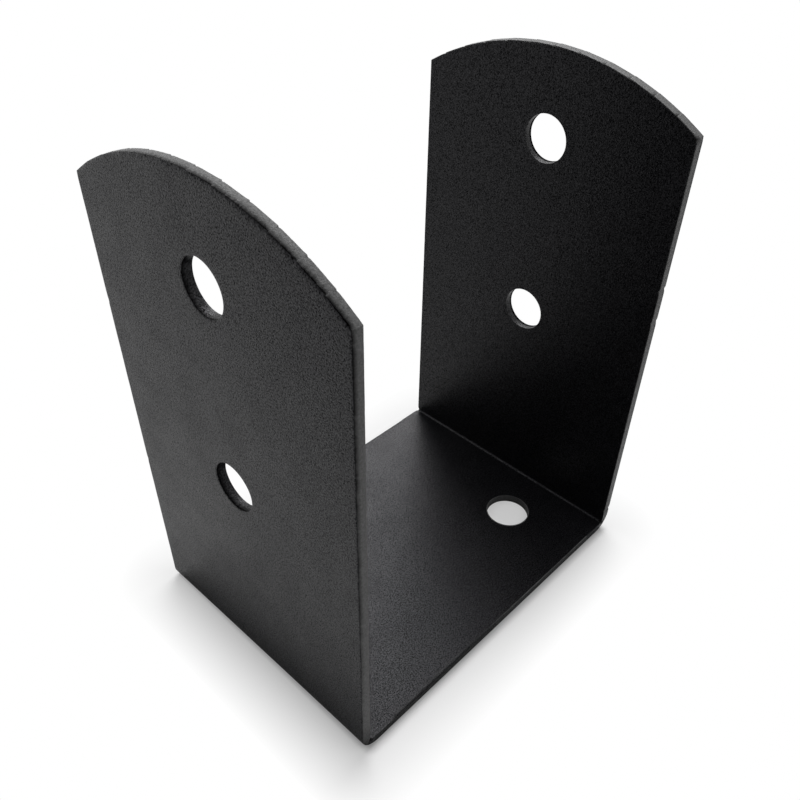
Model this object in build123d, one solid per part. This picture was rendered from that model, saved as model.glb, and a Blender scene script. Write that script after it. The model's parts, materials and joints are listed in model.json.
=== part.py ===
from build123d import *
import os
from math import asin, cos, sin

# U bracket folded from one strip of 2 mm sheet steel and powder coated. Millimetres.
# +X runs from ear to ear, +Y across the width of the strip, +Z up out of the base.
# The origin is the middle of the underside of the base.

# The sheet and its two folds
SHEET = 2.2               # steel with the coat on both its faces
CLEAR_WIDTH = 90.0        # between the inside faces of the ears
WIDTH = 70.0              # of the strip, so of the base and of both ears
HEIGHT = 120.0            # underside of the base to the top of the crowns
FOLD_RADIUS = 1.0         # inside both folds, from the nose of the punch
FOLD_OUTSIDE = 4.8        # round the back of them, where the nose has thinned the sheet

# The crowns are nibbled to an arc, one short straight stroke after another
CROWN_RADIUS = 62.5
STROKE = 6.25             # advance of the punch along the arc
EDGE_ROLL = 0.4           # radius that the press leaves on the outer edges

# Cross-bolt holes, in line through both ears
EAR_HOLE = 11.0           # bore
LOWER_HOLE_UP = 56.0      # underside of the base to the centre of the lower holes
EAR_HOLE_PITCH = 44.5     # lower holes to upper holes

# Fixing holes in the base, staggered on a diagonal
BASE_HOLE = 11.5          # bore
BASE_HOLE_SPAN = 60.0     # between their centres, from ear to ear
BASE_HOLE_STAGGER = 27.0  # between their centres, across the width

# Sizes that follow from those
LENGTH = CLEAR_WIDTH + 2 * SHEET
CUT_PAST = 2 * SHEET      # how far a cutter stands out of the sheet


def u_section():
    """End view of the folded strip: an outer u less an inner one."""
    outer = Pos(0, HEIGHT / 2) * Rectangle(LENGTH, HEIGHT)
    inner = Pos(0, HEIGHT / 2 + SHEET) * Rectangle(CLEAR_WIDTH, HEIGHT)
    outer = fillet(outer.vertices().group_by(Axis.Y)[0], FOLD_OUTSIDE)
    inner = fillet(inner.vertices().group_by(Axis.Y)[0], FOLD_RADIUS)
    return outer - inner


def folded_strip():
    """The strip with both folds made and its ends still square."""
    return extrude(Plane.XZ * u_section(), amount=WIDTH / 2, both=True)


def crown_corners():
    """Corners between the strokes of one crown, from its +Y side to its -Y side.

    Every stroke is a chord of the crown's arc. The first starts at the ear's side,
    and a last one that would take less than a quarter of the punch isn't made.
    """
    half_angle = asin(WIDTH / 2 / CROWN_RADIUS)
    step = STROKE / CROWN_RADIUS
    strokes = int((2 * half_angle - step / 4) / step)
    angles = [half_angle - n * step for n in range(strokes + 1)] + [-half_angle]
    centre_up = HEIGHT - CROWN_RADIUS
    return [(CROWN_RADIUS * sin(a), centre_up + CROWN_RADIUS * cos(a)) for a in angles]


def crown_waste():
    """What the strokes take off the top of the ear on the -X side."""
    corners = crown_corners()
    side = WIDTH / 2 + CUT_PAST
    shoulder = corners[0][1]
    top = HEIGHT + CUT_PAST
    frame = [(-side, shoulder), (-side, top), (side, top), (side, shoulder)]
    outline = make_face(Polyline(*corners, *frame, close=True))
    return extrude(Plane.YZ * outline, amount=-LENGTH)


def ear_holes():
    """Drills for the cross bolts, each one through both ears."""
    drill = Rot(0, 90, 0) * Cylinder(EAR_HOLE / 2, LENGTH + 2 * CUT_PAST)
    return [Pos(0, 0, LOWER_HOLE_UP + n * EAR_HOLE_PITCH) * drill for n in range(2)]


def base_hole():
    """Drill for the fixing hole at the front of the base, on the +X side."""
    drill = Cylinder(BASE_HOLE / 2, 2 * (SHEET + CUT_PAST))
    return Pos(BASE_HOLE_SPAN / 2, -BASE_HOLE_STAGGER / 2) * drill


def outer_edges(bracket):
    """Edges round the outer faces: the outline and the hole rims, not the fold lines."""
    flats = bracket.faces().filter_by(Axis.X).sort_by(Axis.X)
    underside = bracket.faces().filter_by(Axis.Z).sort_by(Axis.Z)[0]
    folds = bracket.faces().filter_by(lambda f: f.radius == FOLD_OUTSIDE)
    skin = [flats[0], flats[-1], underside, *folds]
    edges = ShapeList(edge for face in skin for edge in face.edges())
    fold_lines = edges.filter_by(Axis.Y).filter_by(lambda e: e.length > WIDTH - SHEET)
    return edges - fold_lines


def u_bracket():
    """The finished bracket, which looks the same after half a turn about Z."""
    bracket = folded_strip() - ear_holes()
    for turn in (0, 180):
        bracket -= Rot(0, 0, turn) * crown_waste()
        bracket -= Rot(0, 0, turn) * base_hole()
    return fillet(outer_edges(bracket), EDGE_ROLL)


os.makedirs("parts", exist_ok=True)
export_step(u_bracket(), "parts/u_bracket.step")
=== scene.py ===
import json
import math
import random
from collections import namedtuple

import bmesh
import bpy
from mathutils import Matrix, Vector, noise
from mathutils.geometry import delaunay_2d_cdt


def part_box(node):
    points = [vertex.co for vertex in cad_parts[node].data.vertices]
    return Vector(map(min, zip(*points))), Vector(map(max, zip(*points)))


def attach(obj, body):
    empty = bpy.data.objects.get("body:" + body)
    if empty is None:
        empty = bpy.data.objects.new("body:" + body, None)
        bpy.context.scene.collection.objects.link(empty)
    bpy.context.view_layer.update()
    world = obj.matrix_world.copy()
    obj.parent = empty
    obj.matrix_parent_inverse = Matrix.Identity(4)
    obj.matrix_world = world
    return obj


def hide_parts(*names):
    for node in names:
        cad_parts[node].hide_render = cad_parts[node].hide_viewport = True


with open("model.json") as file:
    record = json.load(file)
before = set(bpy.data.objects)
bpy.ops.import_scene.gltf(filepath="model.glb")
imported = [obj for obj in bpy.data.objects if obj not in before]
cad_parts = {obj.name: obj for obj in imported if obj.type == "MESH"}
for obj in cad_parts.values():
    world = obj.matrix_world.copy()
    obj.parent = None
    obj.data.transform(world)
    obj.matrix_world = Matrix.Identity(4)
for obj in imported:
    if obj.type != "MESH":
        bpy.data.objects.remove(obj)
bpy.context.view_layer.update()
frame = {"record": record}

# ---- Folded strip ------------------------------------------------------------------
# The whole bracket is one strip of 2 mm steel, folded up twice over a V die and powder
# coated. A punch nibbles both of its ends round and makes its six holes, which leaves
# the outer edges rolled over and torn, and the inner ones with a fine burr.

MM = 0.001
SHEET = 2.2 * MM          # steel with its coat
FOLD_RADIUS = 0.65 * MM   # inside both folds
FOLD_OUTSIDE = 4.8 * MM   # round the back of them
FOLD_TIGHTER = 2.3 * MM   # how much of that the -X fold loses by its +Y end
STROKE = 6.25 * MM        # advance of the nibbling punch
STROKE_BOW = 0.04 * MM    # how far the middle of each cut stands proud of its ends

# Each crown has its own arc: radius, height of its top over the ear's, and how far
# off centre it sits, towards its first stroke. Keys are the sign of the ear's x.
CROWNS = {1: (66.0 * MM, 0.1 * MM, 0.4 * MM), -1: (60.5 * MM, 0.26 * MM, 0.2 * MM)}

box_low, box_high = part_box("u_bracket")
LENGTH = box_high.x - box_low.x
WIDTH = box_high.y - box_low.y
HEIGHT = box_high.z - box_low.z

bolts = {mount["name"]: mount for mount in frame["record"]["mounts"]}
EAR_HOLE_UP = [bolts[name]["pos_m"][2] for name in ("lower_cross_bolt", "upper_cross_bolt")]
EAR_HOLE = bolts["upper_cross_bolt"]["dims"]["r_mm"] * MM
BASE_HOLE = bolts["base_fixings"]["dims"]["hole_r_mm"] * MM
BASE_HOLE_AT = Vector((30.0 * MM, -13.5 * MM))

# The flat blank runs along s, which is zero mid-base, and across y. Depth goes from 0
# on the outer skin to SHEET on the inner one.
FOLD_START = LENGTH / 2 - FOLD_OUTSIDE
FOLD_ARC = 6.2 * MM
EAR_START = FOLD_START + FOLD_ARC


def beside(gap, reach):
    """1 at a place, falling to 0 past a reach given in millimetres."""
    return math.exp(-((gap / (reach * MM)) ** 2))


def rise(value, start, end):
    """0 up to start, 1 from end on, and smooth between."""
    share = min(max((value - start) / (end - start), 0), 1)
    return share * share * (3 - 2 * share)


def along(height):
    """Where on the blank a given height of the folded ear lies."""
    return EAR_START + height - FOLD_OUTSIDE


def fold_skin(s, radius, depth):
    """Place of a skin at s on the +X half: along the base, round the fold, up the ear.

    The outer skin shares the fold out by length. The inner one gives its small arc a
    third, so that it stays round.
    """
    corner = LENGTH / 2 - depth
    straight = FOLD_OUTSIDE - depth - radius
    through = min(max((s - FOLD_START) / FOLD_ARC, 0), 1)
    round_share = 1 / 3
    if not depth:
        round_share = radius * math.pi / 2 / (2 * straight + radius * math.pi / 2)
    flat_share = (1 - round_share) / 2
    before = min(through / max(flat_share, 1e-9), 1)
    turned = min(max((through - flat_share) / round_share, 0), 1) * math.pi / 2
    after = max(through - flat_share - round_share, 0) / max(flat_share, 1e-9)
    x = corner - radius * (1 - math.sin(turned)) - straight * (1 - before)
    z = depth + radius * (1 - math.cos(turned)) + straight * after
    return Vector((x - max(FOLD_START - s, 0), z + max(s - EAR_START, 0)))


def fold(s, y, depth):
    """Place in the folded bracket of a point of the flat blank."""
    tighter = FOLD_TIGHTER * rise(y, -WIDTH / 2, WIDTH / 2) * (s < 0)
    outer = fold_skin(abs(s), FOLD_OUTSIDE - tighter, 0)
    inner = fold_skin(abs(s), FOLD_RADIUS, SHEET)
    at = outer.lerp(inner, depth / SHEET)
    return Vector((math.copysign(at.x, s), y, at.y))


def crown_corners(ear):
    """Corners between the punch strokes over one crown, in the order of the strokes."""
    radius, up, off = CROWNS[ear]
    first = -math.asin((WIDTH / 2 - off) / radius)
    last = math.asin((WIDTH / 2 + off) / radius)
    step = STROKE / radius
    strokes = int((last - first - step / 4) / step)
    angles = [first + n * step for n in range(strokes + 1)] + [last]
    centre = Vector((along(HEIGHT + up - radius), -off))
    return [ear * (centre + radius * Vector((math.cos(a), math.sin(a)))) for a in angles]


# Stations across the strip: the two folds, each with a narrow flat land either side.
LAND = 0.4 * MM
FOLD_STEPS = 18
fold_stations = [FOLD_START - LAND]
fold_stations += [FOLD_START + FOLD_ARC * n / FOLD_STEPS for n in range(FOLD_STEPS + 1)]
fold_stations += [EAR_START + LAND]
stations = sorted([-s for s in fold_stations] + fold_stations)

EDGE_PITCH = 0.6 * MM     # between the mesh points along the sides
CROWN_PITCH = 0.22 * MM   # and along the nibbled ends
SHOULDER_GAP = 0.95 * MM  # kept clear beside the ends of the crowns


def split(start, end, pitch):
    """Even values from start up to but not including end."""
    count = max(round(abs(end - start) / pitch), 1)
    return [start + (end - start) * n / count for n in range(count)]


def side(start, end, y):
    """Straight cut edge between two shoulders, with a point at every station."""
    facing = math.copysign(1, y)
    marks = [start] + sorted(stations, reverse=y > 0) + [end]
    points = []
    for here, there in zip(marks, marks[1:]):
        for s in split(here, there, EDGE_PITCH):
            points.append((Vector((s, y)), Vector((0, facing)), None))
    return points


def crown(ear, corners):
    """Nibbled edge over one ear: each point also has its stroke, and how far through."""
    points = []
    for n, (start, end) in enumerate(zip(corners, corners[1:])):
        length = (end - start).length
        way = (end - start) / length
        out = Vector((way.y, -way.x))
        for u in split(0, 1, CROWN_PITCH / length):
            bow = out * STROKE_BOW * 4 * u * (1 - u)
            points.append((start.lerp(end, u) + bow, out, (ear, n, u, length)))
    return points


def outline():
    """Whole cut edge of the blank: a side, the +X crown, the other side, the -X crown.

    Each entry is a point, the direction out of the sheet, and the stroke on a crown.
    """
    far, near = crown_corners(1), crown_corners(-1)
    points = side(near[-1].x, far[0].x, -WIDTH / 2) + crown(1, far)
    points += side(far[-1].x, near[0].x, WIDTH / 2) + crown(-1, near)
    shoulders = [far[0], far[-1], near[0], near[-1]]

    def clear(point):
        gap = min((point - shoulder).length for shoulder in shoulders)
        return gap < 1e-6 or gap > SHOULDER_GAP

    return [entry for entry in points if clear(entry[0])]


def hole_rim(centre, radius, count=96):
    """Cut edge of a hole."""
    rim = []
    for n in range(count):
        a = -2 * math.pi * n / count
        out = Vector((-math.cos(a), -math.sin(a)))
        rim.append((centre - out * radius, out, None))
    return rim


# The punch draws the outer skin down before it shears, tears the steel just below
# that rounded edge, and pushes a burr out of the inner skin.
ROLL_ALONG = 0.45 * MM
ROLL_DEEP = 0.105 * MM
ROLL_STEPS = 4
TEAR_AT = 0.09 * MM       # depth of the bottom of the tear below the rolled lip
TEAR_END = 0.28 * MM
TEAR_IN = 0.42 * MM       # how far the tear runs into the sheet
BURR_FOOT = 0.2 * MM
BURR_FULL_HIGHLIGHT = 0.12 * MM   # burr height at which its crest is painted fully grey, a painted highlight along the crest
NICK_FULL_SHADE = 0.25 * MM    # depth at which a nick is painted fully black inside, as painted shade
EDGE_LAND = 0.3 * MM
FOOT_LAND = 0.04 * MM     # on the inner skin beside the burr
INNER_LAND = 1.0 * MM     # inset of the last ring, clear of every nick

LIP = ROLL_STEPS + 1      # ring where the roll ends and the tear starts
CREST = LIP + 5           # ring along the top of the burr


def edge_profile(scale):
    """Rings from the outer skin over the cut edge to the inner skin.

    Each is an inset, a depth, and its share of the tear, of the burr and of the nicks.
    """
    rings = [(2.4 * ROLL_ALONG * scale + EDGE_LAND, 0.0, 0.0, 0.0, 0.0)]
    for n in range(ROLL_STEPS + 1):
        a = math.pi / 2 * n / ROLL_STEPS
        inset = ROLL_ALONG * scale * (1 - math.sin(a))
        rings.append((inset, ROLL_DEEP * scale * (1 - math.cos(a)), 0.0, 0.0, 0.0))
    rings.append((0.0, TEAR_AT * scale, 1.0, 0.0, 0.0))
    rings.append((0.0, TEAR_END * scale, 0.45, 0.0, 0.0))
    rings.append((0.0, SHEET * 0.5, 0.0, 0.0, 0.0))
    rings.append((0.0, SHEET * 0.8, 0.0, 0.3, 0.3))
    rings.append((0.0, SHEET, 0.0, 1.0, 1.0))
    rings.append((BURR_FOOT, SHEET, 0.0, 0.0, 1.0))
    rings.append((BURR_FOOT + FOOT_LAND, SHEET, 0.0, 0.0, 1.0))
    rings.append((INNER_LAND, SHEET, 0.0, 0.0, 0.0))
    return rings


# How the punch left the edge at one point. Roll and tear are shares of the profile's, and
# drop is how low the tear hangs. Burr is a height, nick a depth, and step is how far the
# whole edge stands back. Another field gives how far the cut face is painted grey: partly
# the steel showing through a thin coat, partly painted sheen for the light it catches.
Cut = namedtuple("Cut", "roll tear drop burr nick bare step")

# Strength of each crown's roll and tear, and depth of its nicks and of its steps. The
# punch was sharper on the +X one. Keys are the sign of the ear's x.
CROWN_CUTS = {1: (0.35, 0.05, 0.55 * MM, 0.09 * MM), -1: (1.0, 1.0, 0.12 * MM, 0.03 * MM)}

# Small knocks in two of the ears' sides, in mm above the base. Keys are the signs of x and y.
KNOCKS = {(1, -1): (6.5, 67.5, 76.0), (-1, 1): (41.0, 83.0)}
KNOCK_DEEP = 0.2 * MM
KNOCK_REACH = 0.45        # mm
SHARP = 0.35              # share of the roll along the +X ear's sides
PINCH_DEEP = 0.75 * MM    # bite out of the inner skin at each end of a fold
PINCH_REACH = 0.8         # mm
RAGGED_DEEP = 0.14 * MM
EAR_BURR = 0.04 * MM
BASE_BURR = 0.13 * MM

# The rims of the holes are the same all round, and their profile is smaller. The cut
# walls of the base holes are painted a much lighter grey than the ears', mostly as
# painted light on walls that face up to the lamps.
EAR_RIM = Cut(2.0, 1.4, 1.0, 0.02 * MM, 0.0, 0.04, 0.0)
BASE_RIM = Cut(1.0, 0.4, 1.0, 0.09 * MM, 0.0, 0.6, 0.0)
RIM_SCALE = 0.6

dice = random.Random(11)
stroke_ends = {ear: [[dice.uniform(0, 1) for _ in range(5)] for _ in range(15)] for ear in (1, -1)}


def stroke_cut(stroke):
    """Cut at one point of a crown.

    The punch comes down a little askew, so each stroke's edge leans and steps at the
    next one, and its tear drops deeper on its way.
    """
    ear, n, u, length = stroke
    first, last, torn, flare, nicked = stroke_ends[ear][n]
    roll_share, tear_share, nick_deep, step_deep = CROWN_CUTS[ear]
    start, end = u * length, (1 - u) * length
    roll = ((1.3 + 0.5 * first) * (1 - u) + (1.8 + 0.6 * last) * u) * roll_share
    tear = (1.2 + 0.8 * torn) * (0.65 + 0.35 * math.sin(math.pi * (0.15 + 0.75 * u)))
    tear *= (1 - 0.5 * beside(min(start, end), 0.2)) * tear_share
    drop = 0.7 + 0.75 * u
    burr = (0.04 + 0.14 * flare * beside(end, 0.8)) * (1 - beside(start, 0.25)) * MM
    nick = nick_deep * (0.5 + 0.5 * nicked) * beside(start, 0.35)
    step = step_deep * (0.6 + 0.6 * last) * (1 - u)
    return Cut(roll, tear, drop, burr, nick, 1.0, step)


def side_cut(point):
    """Cut at one point of a straight side.

    Up the ears the tear grows, and over the first 12 mm the cut face takes the painted
    grey of uncoated steel and sheen. Each fold is pinched at its ends, and the pinch is
    painted black inside as shade.
    Along the base one half of the edge is ragged, and the other has the taller burr.
    """
    up = abs(point.x) - along(0)
    on_base = up < -FOLD_ARC
    tear = 0.25 + 0.6 * rise(up, 15 * MM, 45 * MM) + 0.5 * rise(up, 75 * MM, 90 * MM)
    pinch = beside(abs(point.x) - FOLD_START - FOLD_ARC / 2, PINCH_REACH)
    ragged = rise(point.x * math.copysign(1, point.y), -8 * MM, 12 * MM) * on_base
    burr = BASE_BURR + (EAR_BURR - BASE_BURR) * ragged if on_base else EAR_BURR
    nick = max(PINCH_DEEP * pinch, RAGGED_DEEP * ragged)
    sharp = SHARP if point.x > 0 and up > 0 else 1.0
    corner = math.copysign(1, point.x), math.copysign(1, point.y)
    knock = sum(beside(up - place * MM, KNOCK_REACH) for place in KNOCKS.get(corner, ()))
    bare = 0.1 * (1 - ragged) if on_base else rise(up, 0, 12 * MM)
    return Cut(sharp, tear * sharp ** 2, 1.0, burr, nick, bare, KNOCK_DEEP * knock)


def outline_cut(point, stroke):
    """Cut at one point of the outline, which has a stroke on the crowns only."""
    return stroke_cut(stroke) if stroke else side_cut(point)


def miter(points, index):
    """Unit inset direction at a point of a closed edge, longer at its corners."""
    here = points[index][1]
    before = points[index - 1][1]
    both = here + before
    return -both / (1 + here.dot(before))


bm = bmesh.new()
# Painted shade: how far a vertex of the tear, its lip or a nick is painted black.
tear_shade_layer = bm.verts.layers.float.new("torn")
# Painted grey of the cut faces, partly uncoated steel and partly painted sheen.
bare_and_sheen_layer = bm.verts.layers.float.new("bare")


def add_edge(points, scale, cut_at):
    """Skins the cut edge given by points, and returns its first and last rings of vertices."""
    profile = edge_profile(scale)
    rings = [[] for _ in profile]
    for i, (point, _out, stroke) in enumerate(points):
        inward = miter(points, i)
        fine = noise.noise(Vector((point.x, point.y, 0)) / (0.5 * MM))
        slow = noise.noise(Vector((point.x, point.y, 9)) / (3.5 * MM))
        cut = cut_at(point, stroke)
        roll = cut.roll * (1 + 0.2 * slow)
        tear = cut.tear * max(1 + 0.5 * slow + 0.5 * fine, 0)
        burr = cut.burr * (1 + 0.6 * fine + 0.5 * slow)
        crest_highlight = min(burr / BURR_FULL_HIGHLIGHT, 1) ** 2
        for n, (inset, depth, torn, burred, nicked) in enumerate(profile):
            if 0 < n <= LIP:
                inset *= roll
                depth *= roll
            elif torn:
                depth *= cut.drop * (1 + 0.25 * fine)
                depth += ROLL_DEEP * scale * roll
            if 0 < n < len(profile) - 1:
                inset += cut.step
            inset += TEAR_IN * torn * tear * scale + cut.nick * nicked
            at = point + inward * inset
            vert = bm.verts.new((at.x, at.y, depth + burr * burred ** 2))
            # The tear, the rolled lip and the nicks are painted black, as painted shade.
            tear_shade = 1.5 * torn + 0.6 * (n == LIP)
            nick_shade = cut.nick * nicked / NICK_FULL_SHADE if n <= CREST + 1 else 0.0
            vert[tear_shade_layer] = min(tear_shade * tear + nick_shade, 1)
            # The cut face is painted grey, partly uncoated steel and partly painted sheen.
            vert[bare_and_sheen_layer] = cut.bare if LIP < n <= CREST else 0.0
            # The crest of a tall burr is painted grey too, as a painted highlight.
            if n in (CREST, CREST + 1):
                vert[bare_and_sheen_layer] = max(vert[bare_and_sheen_layer], crest_highlight)
            rings[n].append(vert)
    for ring, inner in zip(rings, rings[1:]):
        for i in range(len(ring)):
            bm.faces.new((ring[i - 1], ring[i], inner[i], inner[i - 1])).smooth = True
    for n in (LIP, LIP + 1, LIP + 2, CREST, CREST + 1):
        for i in range(len(rings[n])):
            bm.edges.get((rings[n][i - 1], rings[n][i])).smooth = False
    for i in range(len(points)):
        if points[i][1].dot(points[i - 1][1]) < math.cos(math.radians(4.5)):
            for n in range(LIP, CREST):
                bm.edges.get((rings[n][i], rings[n + 1][i])).smooth = False
    return rings[0], rings[-1]


edges = [add_edge(outline(), 1.0, outline_cut)]
for height in EAR_HOLE_UP:
    for ear in (1, -1):
        rim = hole_rim(Vector((ear * along(height), 0)), EAR_HOLE)
        edges.append(add_edge(rim, RIM_SCALE, lambda *_: EAR_RIM))
for centre in (BASE_HOLE_AT, -BASE_HOLE_AT):
    edges.append(add_edge(hole_rim(centre, BASE_HOLE), RIM_SCALE, lambda *_: BASE_RIM))


def fill_skin(loops):
    """Fills one skin of the blank between its outer loop and its holes."""
    holes = []
    for loop in loops[1:]:
        centre = sum((v.co.xy for v in loop), Vector((0, 0))) / len(loop)
        holes.append((centre, (loop[0].co.xy - centre).length))
    verts = [vert for loop in loops for vert in loop]
    spans = []
    first = 0
    for loop in loops:
        spans += [(first + i, first + (i + 1) % len(loop)) for i in range(len(loop))]
        first += len(loop)
    outside = {(b, a) for a, b in spans}
    for s in stations:
        spans.append(tuple(i for i, v in enumerate(loops[0]) if abs(v.co.x - s) < 1e-7))
    made = delaunay_2d_cdt([v.co.xy / MM for v in verts], spans, [], 1, 1e-6, True)
    source = [origins[0] for origins in made[3]]
    for triangle in made[2]:
        a, b, c = [source[i] for i in triangle]
        if outside & {(a, b), (b, c), (c, a)}:
            continue
        corners = [verts[a], verts[b], verts[c]]
        middle = sum((v.co.xy for v in corners), Vector((0, 0))) / 3
        if all((middle - centre).length > radius for centre, radius in holes):
            bm.faces.new(corners).smooth = True


fill_skin([outer for outer, _inner in edges])
fill_skin([inner for _outer, inner in edges])

for vert in bm.verts:
    vert.co = fold(*vert.co)
bmesh.ops.recalc_face_normals(bm, faces=bm.faces)
strip_mesh = bpy.data.meshes.new("folded_strip")
bm.to_mesh(strip_mesh)
bm.free()
strip = bpy.data.objects.new("folded_strip", strip_mesh)
bpy.context.collection.objects.link(strip)

# Satin black powder coat, baked on all over: it levels out into a fine orange peel with
# a leathery grain, and a few lighter flecks painted in as tiny glints. It is thin and rough
# where the punch cut the steel, and painted grey there, partly for the steel showing through
# and partly as painted sheen. The tear, its lip and the nicks are painted black with their
# reflection turned down, as painted shade.
COAT_IOR = 1.26
COAT_TINT = (0.96, 0.955, 1.0, 1)
BLACK_LOW = (0.0005, 0.0005, 0.0008, 1)
BLACK_HIGH = (0.0045, 0.0045, 0.0055, 1)
# Painted glints: lighter flecks in the coat.
SPECK_GLINT = (0.02, 0.02, 0.022, 1)
# Painted grey of the cut faces: uncoated steel, and painted sheen for the light they catch.
SHEARED_AND_SHEEN_LOW = (0.105, 0.105, 0.105, 1)
SHEARED_AND_SHEEN_HIGH = (0.14, 0.14, 0.14, 1)
# Painted shade: black in the tear, its lip and the nicks.
TEAR_SHADE_BLACK = (0.0001, 0.0001, 0.0001, 1)
PEEL_SIZE = 0.45 * MM
PEEL_DEEP = 0.045 * MM
GRAIN_SIZE = 0.27 * MM
GRAIN_DEEP = 0.04 * MM
CLOUD_SIZE = 7 * MM       # patches that are a little duller
SPECK_GLINT_SIZE = 0.35 * MM
SHEARED_ROUGH = 0.65

coat = bpy.data.materials.new("black_powder_coat")
coat.use_nodes = True
nodes = coat.node_tree.nodes
links = coat.node_tree.links
bsdf = nodes["Principled BSDF"]
bsdf.inputs["IOR"].default_value = COAT_IOR
bsdf.inputs["Specular Tint"].default_value = COAT_TINT
place = nodes.new("ShaderNodeTexCoord")


def coat_noise(size, detail):
    """Noise through the coat with features of a size in metres."""
    node = nodes.new("ShaderNodeTexNoise")
    node.inputs["Scale"].default_value = 1 / size
    node.inputs["Detail"].default_value = detail
    links.new(place.outputs["Object"], node.inputs["Vector"])
    return node.outputs["Fac"]


def coat_layer(name):
    """Value painted on the vertices of the cut edges."""
    node = nodes.new("ShaderNodeAttribute")
    node.attribute_name = name
    return node.outputs["Fac"]


def coat_range(value, low, high, to_low=0.0, to_high=1.0):
    """Value spread from low..high to to_low..to_high, where to_low can be a socket."""
    node = nodes.new("ShaderNodeMapRange")
    node.inputs["From Min"].default_value = low
    node.inputs["From Max"].default_value = high
    if isinstance(to_low, float):
        node.inputs["To Min"].default_value = to_low
    else:
        links.new(to_low, node.inputs["To Min"])
    node.inputs["To Max"].default_value = to_high
    links.new(value, node.inputs["Value"])
    return node.outputs["Result"]


def coat_mix(share, first, second):
    """Colour that goes from first to second with a share. Each is a colour or a socket."""
    node = nodes.new("ShaderNodeMix")
    node.data_type = "RGBA"
    links.new(share, node.inputs["Factor"])
    for socket, colour in zip((node.inputs[6], node.inputs[7]), (first, second)):
        if isinstance(colour, tuple):
            socket.default_value = colour
        else:
            links.new(colour, socket)
    return node.outputs[2]


def coat_bump(height, depth, before=None):
    """Relief of a depth, on top of the relief before it."""
    node = nodes.new("ShaderNodeBump")
    node.inputs["Distance"].default_value = depth
    links.new(height, node.inputs["Height"])
    if before:
        links.new(before, node.inputs["Normal"])
    return node.outputs["Normal"]


peel = coat_noise(PEEL_SIZE, 1.0)
grain = coat_noise(GRAIN_SIZE, 1.0)
cloud = coat_noise(CLOUD_SIZE, 2.0)
speck_glints = coat_noise(SPECK_GLINT_SIZE, 0.0)
torn = coat_layer("torn")
bare = coat_layer("bare")

shade = coat_mix(coat_range(grain, 0.3, 0.7), BLACK_LOW, BLACK_HIGH)
shade = coat_mix(coat_range(speck_glints, 0.74, 0.8), shade, SPECK_GLINT)
sheared_and_sheen = coat_mix(coat_range(peel, 0.3, 0.7), SHEARED_AND_SHEEN_LOW, SHEARED_AND_SHEEN_HIGH)
shade = coat_mix(bare, shade, sheared_and_sheen)
rough = coat_range(bare, 0.0, 1.0, coat_range(cloud, 0.3, 0.7, 0.355, 0.415), SHEARED_ROUGH)
# The tear, its lip and the nicks lose their reflection too, as painted shade.
shine = coat_range(torn, 0.0, 1.0, coat_range(grain, 0.3, 0.7, 0.04, 0.96), 0.05)
relief = coat_bump(grain, GRAIN_DEEP, coat_bump(peel, PEEL_DEEP))
links.new(coat_mix(torn, shade, TEAR_SHADE_BLACK), bsdf.inputs["Base Color"])
links.new(rough, bsdf.inputs["Roughness"])
links.new(shine, bsdf.inputs["Specular IOR Level"])
links.new(relief, bsdf.inputs["Normal"])
strip_mesh.materials.append(coat)

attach(strip, "root")
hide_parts("u_bracket")

# ---- Floor -------------------------------------------------------------------------
# A wide sheet of white paper under the bracket. Away from the bracket a white glow mixed in
# for camera and glossy rays makes it plain white, and close to it the paper's own tone shows,
# with the shadow on it. Under the base holes a share of that glow comes back in, as painted
# light on the shaded paper.
PAPER = (0.77, 0.77, 0.77, 1)
PAPER_HALF = 3.0
SHADOW_REACH = 14 * MM    # from the bracket to where the paper is plain white
SHADOW_WHITE = 0.4        # share of white right beside the bracket
MIRROR_REACH = 22 * MM    # the same in what the coat mirrors
CONTACT_REACH = 2.2 * MM  # width of the deepest shadow, where the bracket meets the paper
CONTACT_WHITE = 0.25
CONTACT_IN = 2.2 * MM     # from the ears' outsides in to where the folds meet the paper
CONTACT_ENDS = (-6 * MM, -9 * MM)    # where the painted white glow comes back in, under the base holes

floor_mesh = bpy.data.meshes.new("floor")
paper_corners = [(x * PAPER_HALF, y * PAPER_HALF, 0) for x, y in ((-1, -1), (1, -1), (1, 1), (-1, 1))]
floor_mesh.from_pydata(paper_corners, [], [(0, 1, 2, 3)])
floor = bpy.data.objects.new("floor", floor_mesh)
bpy.context.collection.objects.link(floor)

paper = bpy.data.materials.new("white_paper")
paper.use_nodes = True
paper_nodes = paper.node_tree.nodes
paper_links = paper.node_tree.links
paper_nodes.clear()


def paper_math(operation, first, second=None):
    """Maths node on sockets and numbers."""
    node = paper_nodes.new("ShaderNodeMath")
    node.operation = operation
    for socket, value in zip(node.inputs, (first, second)):
        if isinstance(value, (int, float)):
            socket.default_value = value
        elif value:
            paper_links.new(value, socket)
    return node.outputs["Value"]


def paper_gap(x, y):
    """Distance from a rectangle, from the distances past its sides."""
    past_x = paper_math("MAXIMUM", x, 0.0)
    past_y = paper_math("MAXIMUM", y, 0.0)
    squares = paper_math("MULTIPLY", past_x, past_x), paper_math("MULTIPLY", past_y, past_y)
    return paper_math("SQRT", paper_math("ADD", *squares))


def paper_fade(gap, start, end, white, kind="LINEAR"):
    """Share of white that goes up to 1 with a distance."""
    node = paper_nodes.new("ShaderNodeMapRange")
    node.interpolation_type = kind
    node.inputs["From Min"].default_value = start
    node.inputs["From Max"].default_value = end
    node.inputs["To Min"].default_value = white
    paper_links.new(gap, node.inputs["Value"])
    return node.outputs["Result"]


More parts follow.
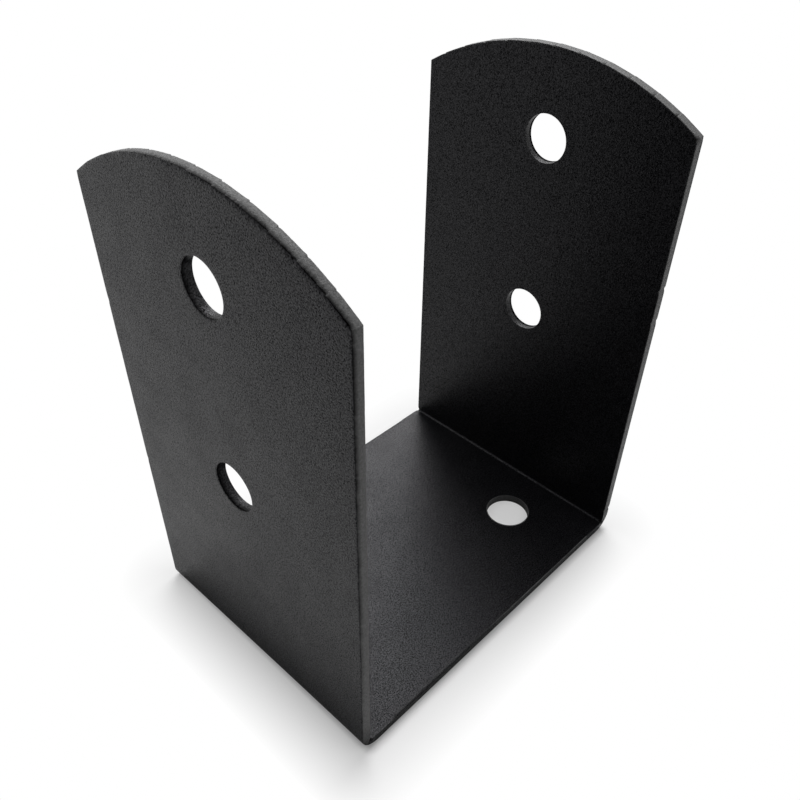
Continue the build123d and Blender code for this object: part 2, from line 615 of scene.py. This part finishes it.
paper_place = paper_nodes.new("ShaderNodeTexCoord")
paper_xyz = paper_nodes.new("ShaderNodeSeparateXYZ")
paper_links.new(paper_place.outputs["Object"], paper_xyz.inputs["Vector"])
past_ear = paper_math("SUBTRACT", paper_math("ABSOLUTE", paper_xyz.outputs["X"]), LENGTH / 2)
past_side = paper_math("SUBTRACT", paper_math("ABSOLUTE", paper_xyz.outputs["Y"]), WIDTH / 2)
past_fold = paper_math("ADD", past_ear, CONTACT_IN)
from_box = paper_gap(past_ear, past_side)
from_contact = paper_gap(past_fold, past_side)
under_base = paper_math("MINIMUM", paper_math("MAXIMUM", past_fold, past_side), 0.0)

beside_base = paper_fade(from_contact, 0.0, CONTACT_REACH, CONTACT_WHITE)
contact = paper_math("MAXIMUM", beside_base, paper_fade(under_base, *CONTACT_ENDS, 0.0))
soft = paper_fade(from_box, 0.0, SHADOW_REACH, SHADOW_WHITE)
mirrored_soft = paper_fade(from_box, 0.0, MIRROR_REACH, 0.0, "SMOOTHSTEP")

paper_rays = paper_nodes.new("ShaderNodeLightPath")
direct = paper_rays.outputs["Is Camera Ray"]
glossy = paper_rays.outputs["Is Glossy Ray"]
mirrored = paper_math("MAXIMUM", glossy, paper_rays.outputs["Is Transmission Ray"])
seen_white = paper_math("MULTIPLY", soft, paper_math("MULTIPLY", contact, direct))
mirrored_white = paper_math("MULTIPLY", mirrored_soft, mirrored)

paper_tone = paper_nodes.new("ShaderNodeBsdfDiffuse")
paper_tone.inputs["Color"].default_value = PAPER
plain_white = paper_nodes.new("ShaderNodeEmission")
plain_white.inputs["Strength"].default_value = 1.0
paper_mix = paper_nodes.new("ShaderNodeMixShader")
paper_links.new(paper_math("ADD", seen_white, mirrored_white), paper_mix.inputs[0])
paper_links.new(paper_tone.outputs["BSDF"], paper_mix.inputs[1])
paper_links.new(plain_white.outputs["Emission"], paper_mix.inputs[2])
paper_out = paper_nodes.new("ShaderNodeOutputMaterial")
paper_links.new(paper_mix.outputs["Shader"], paper_out.inputs["Surface"])
floor_mesh.materials.append(paper)

# ---- Light -------------------------------------------------------------------------
# A white studio, which is seen and mirrored at full white but lights the bracket only
# weakly, and three soft panels around it. The key one gives the coat its long sheen.
ROOM_LIGHT = 0.06
PANEL_AWAY = 0.9
PANEL_AIM = Vector((0, 0, 0.05))

studio = bpy.data.worlds.new("studio")
bpy.context.scene.world = studio
studio.use_nodes = True
studio_nodes = studio.node_tree.nodes
studio_links = studio.node_tree.links


def either(first, second):
    """1 for rays of either kind."""
    node = studio_nodes.new("ShaderNodeMath")
    node.operation = "MAXIMUM"
    studio_links.new(first, node.inputs[0])
    studio_links.new(second, node.inputs[1])
    return node.outputs["Value"]


rays = studio_nodes.new("ShaderNodeLightPath")
studio_seen = either(rays.outputs["Is Glossy Ray"], rays.outputs["Is Transmission Ray"])
studio_seen = either(rays.outputs["Is Camera Ray"], studio_seen)
room = studio_nodes.new("ShaderNodeMapRange")
room.inputs["To Min"].default_value = ROOM_LIGHT
room.inputs["To Max"].default_value = 1.0
studio_links.new(studio_seen, room.inputs["Value"])
studio_nodes["Background"].inputs["Color"].default_value = (1, 1, 1, 1)
studio_links.new(room.outputs["Result"], studio_nodes["Background"].inputs["Strength"])


def softbox(name, towards, wide, high, radiance, along_box):
    """Soft panel that faces the bracket from a direction, with its width along another."""
    lamp = bpy.data.lights.new(name, "AREA")
    lamp.shape = "RECTANGLE"
    lamp.size = wide
    lamp.size_y = high
    lamp.energy = radiance * math.pi * wide * high
    box = bpy.data.objects.new(name, lamp)
    towards = Vector(towards).normalized()
    across = Vector(along_box)
    across = (across - across.dot(towards) * towards).normalized()
    turn = Matrix((across, towards.cross(across), towards)).transposed().to_4x4()
    box.matrix_world = Matrix.Translation(towards * PANEL_AWAY + PANEL_AIM) @ turn
    bpy.context.collection.objects.link(box)


softbox("key_softbox", (0.54, 0.40, 0.74), 0.7, 0.5, 8.0, (0.16, -0.87, 0.38))
softbox("back_softbox", (0.0, 0.6, 0.8), 0.6, 0.6, 1.8, (1, 0, 0))
softbox("front_softbox", (0.15, -0.55, 0.8), 0.6, 0.6, 1.6, (1, 0, 0))

# ---- Camera ------------------------------------------------------------------------
# A normal lens close above the near ear, looking down into the bracket, and rolled a
# little. The small shifts centre the bracket without turning the lens away from it.
LENS = 36.65
CAMERA_AT = Vector((-0.10714, -0.10069, 0.16852))
AIM_AT = Vector((-0.00237, -0.00466, 0.05))
ROLL = math.radians(1.655)

camera = bpy.data.objects.new("camera", bpy.data.cameras.new("camera"))
bpy.context.collection.objects.link(camera)
aim = (AIM_AT - CAMERA_AT).to_track_quat("-Z", "Y").to_matrix().to_4x4()
camera.matrix_world = Matrix.Translation(CAMERA_AT) @ aim @ Matrix.Rotation(ROLL, 4, "Z")
camera.data.lens = LENS
camera.data.sensor_width = 36
camera.data.shift_x = -0.0118
camera.data.shift_y = 0.0222
camera.data.clip_start = 0.005
bpy.context.scene.camera = camera
bpy.context.scene.view_settings.view_transform = "Standard"
